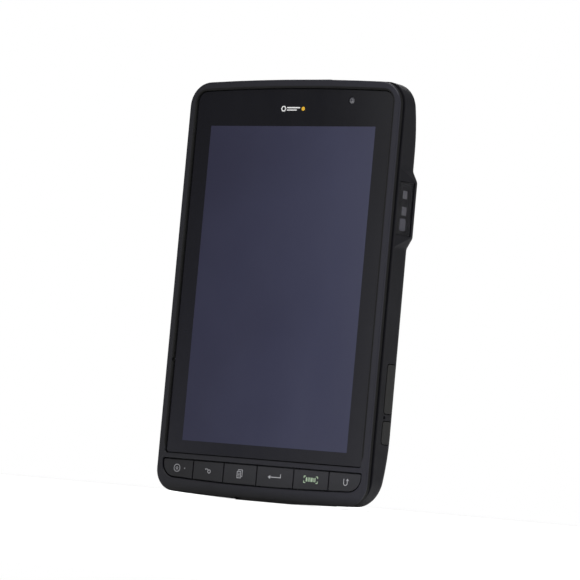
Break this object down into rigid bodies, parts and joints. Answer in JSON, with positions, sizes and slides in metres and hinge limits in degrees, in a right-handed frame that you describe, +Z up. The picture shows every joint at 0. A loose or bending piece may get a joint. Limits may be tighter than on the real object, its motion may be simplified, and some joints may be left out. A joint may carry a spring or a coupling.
{
  "type": "data collector",
  "caption": "Handheld touchscreen data collector with a keypad row under the screen, a side scanner window, sealed port flaps and a dock connector.",
  "frame": {"origin": "centre of the bounding box's footprint, at the level of the dock surround's face that the device stands on", "axes": "+Z up along the device's long axis, -Y out of the screen, +X towards the scanner window"},
  "size_m": [0.1254, 0.0182, 0.1996],
  "materials": {
    "bezel_plastic": "fine textured charcoal",
    "housing_plastic": "fine textured black",
    "cover_glass": "gloss, black border print",
    "adhesive": "tape",
    "display": "dark blue grey when off",
    "backlight": "white tray",
    "frame_metal": "die cast",
    "key_plastic": "satin black",
    "silicone": "translucent grey",
    "circuit_board": "green solder mask",
    "flex_ribbon": "amber polyimide",
    "soft_rubber": "matt black",
    "screw_steel": "black zinc",
    "battery_wrap": "wrapped cells",
    "contact_gold": "gilt",
    "connector_black": "hard black",
    "scan_tint": "smoke tint",
    "optic_grey": "grey optic",
    "socket_steel": "plated",
    "shield_tin": "tinned",
    "lens_glass": "coated",
    "flash_diffuser": "pale diffuser",
    "speaker_black": "moulded"
  },
  "bodies": {
    "body": {"front_bezel": "bezel_plastic", "cover_glass": "cover_glass", "glass_adhesive": "adhesive", "optical_adhesive": "adhesive", "lcd_panel": "display", "backlight_unit": "backlight", "mid_frame": "frame_metal", "front_camera_module": "connector_black", "front_camera_lens": "lens_glass", "keypad_mat": "silicone", "keypad_board": "circuit_board", "keypad_flex": "flex_ribbon", "rear_housing": "housing_plastic", "perimeter_seal": "soft_rubber", "housing_screws": "screw_steel", "battery_pack": "battery_wrap", "battery_contacts": "contact_gold", "battery_cover": "housing_plastic", "battery_seal": "soft_rubber", "scan_window": "scan_tint", "window_seal": "soft_rubber", "scan_engine_body": "connector_black", "scan_lamp": "optic_grey", "scan_aimer": "optic_grey", "scan_lens": "optic_grey", "engine_bracket": "shield_tin", "engine_flex": "flex_ribbon", "usb_socket": "socket_steel", "card_socket": "socket_steel", "port_board": "circuit_board", "power_switch": "socket_steel", "side_key_board": "circuit_board", "dock_surround": "connector_black", "dock_connector": "connector_black", "dock_contacts": "contact_gold", "main_board": "circuit_board", "shield_cans": "shield_tin", "rear_camera_module": "connector_black", "rear_camera_window": "lens_glass", "flash_lens": "flash_diffuser", "flash_lamp": "flash_diffuser", "loudspeaker": "speaker_black", "speaker_grille": "screw_steel", "vibration_motor": "socket_steel", "antennas": "flex_ribbon", "display_flex": "flex_ribbon"},
    "key_home": {"key_home": "key_plastic"},
    "key_lock": {"key_lock": "key_plastic"},
    "key_tasks": {"key_tasks": "key_plastic"},
    "key_enter": {"key_enter": "key_plastic"},
    "key_scan": {"key_scan": "key_plastic"},
    "key_back": {"key_back": "key_plastic"},
    "power_button": {"power_button": "key_plastic"},
    "volume_up_key": {"volume_up_key": "key_plastic"},
    "volume_down_key": {"volume_down_key": "key_plastic"},
    "long_port_flap": {"long_port_flap": "soft_rubber"},
    "short_port_flap": {"short_port_flap": "soft_rubber"},
    "battery_latch_left": {"battery_latch_left": "key_plastic"},
    "battery_latch_right": {"battery_latch_right": "key_plastic"}
  },
  "joints": [
    {"name": "key_home_press", "type": "slide", "parent": "body", "child": "key_home", "axis": [0, 1, 0], "range_m": [0, 0.0005], "stiffness_N_per_m": 2000},
    {"name": "key_lock_press", "type": "slide", "parent": "body", "child": "key_lock", "axis": [0, 1, 0], "range_m": [0, 0.0005], "stiffness_N_per_m": 2000},
    {"name": "key_tasks_press", "type": "slide", "parent": "body", "child": "key_tasks", "axis": [0, 1, 0], "range_m": [0, 0.0005], "stiffness_N_per_m": 2000},
    {"name": "key_enter_press", "type": "slide", "parent": "body", "child": "key_enter", "axis": [0, 1, 0], "range_m": [0, 0.0005], "stiffness_N_per_m": 2000},
    {"name": "key_scan_press", "type": "slide", "parent": "body", "child": "key_scan", "axis": [0, 1, 0], "range_m": [0, 0.0005], "stiffness_N_per_m": 2000},
    {"name": "key_back_press", "type": "slide", "parent": "body", "child": "key_back", "axis": [0, 1, 0], "range_m": [0, 0.0005], "stiffness_N_per_m": 2000},
    {"name": "power_button_press", "type": "slide", "parent": "body", "child": "power_button", "axis": [0, 0, -1], "range_m": [0, 0.0005], "stiffness_N_per_m": 2000},
    {"name": "volume_up_key_press", "type": "slide", "parent": "body", "child": "volume_up_key", "axis": [1, 0, 0], "range_m": [0, 0.0005], "stiffness_N_per_m": 2000},
    {"name": "volume_down_key_press", "type": "slide", "parent": "body", "child": "volume_down_key", "axis": [1, 0, 0], "range_m": [0, 0.0005], "stiffness_N_per_m": 2000},
    {"name": "long_port_flap_hinge", "type": "hinge", "parent": "body", "child": "long_port_flap", "pos_m": [0.0596, 0.00565, 0.0565], "axis": [0, 0, 1], "range_deg": [0, 110]},
    {"name": "short_port_flap_hinge", "type": "hinge", "parent": "body", "child": "short_port_flap", "pos_m": [0.0596, 0.00565, 0.0364], "axis": [0, 0, 1], "range_deg": [0, 110]},
    {"name": "battery_latch_left_slide", "type": "slide", "parent": "body", "child": "battery_latch_left", "axis": [0, 0, 1], "range_m": [0, 0.004]},
    {"name": "battery_latch_right_slide", "type": "slide", "parent": "body", "child": "battery_latch_right", "axis": [0, 0, 1], "range_m": [0, 0.004]}
  ]
}
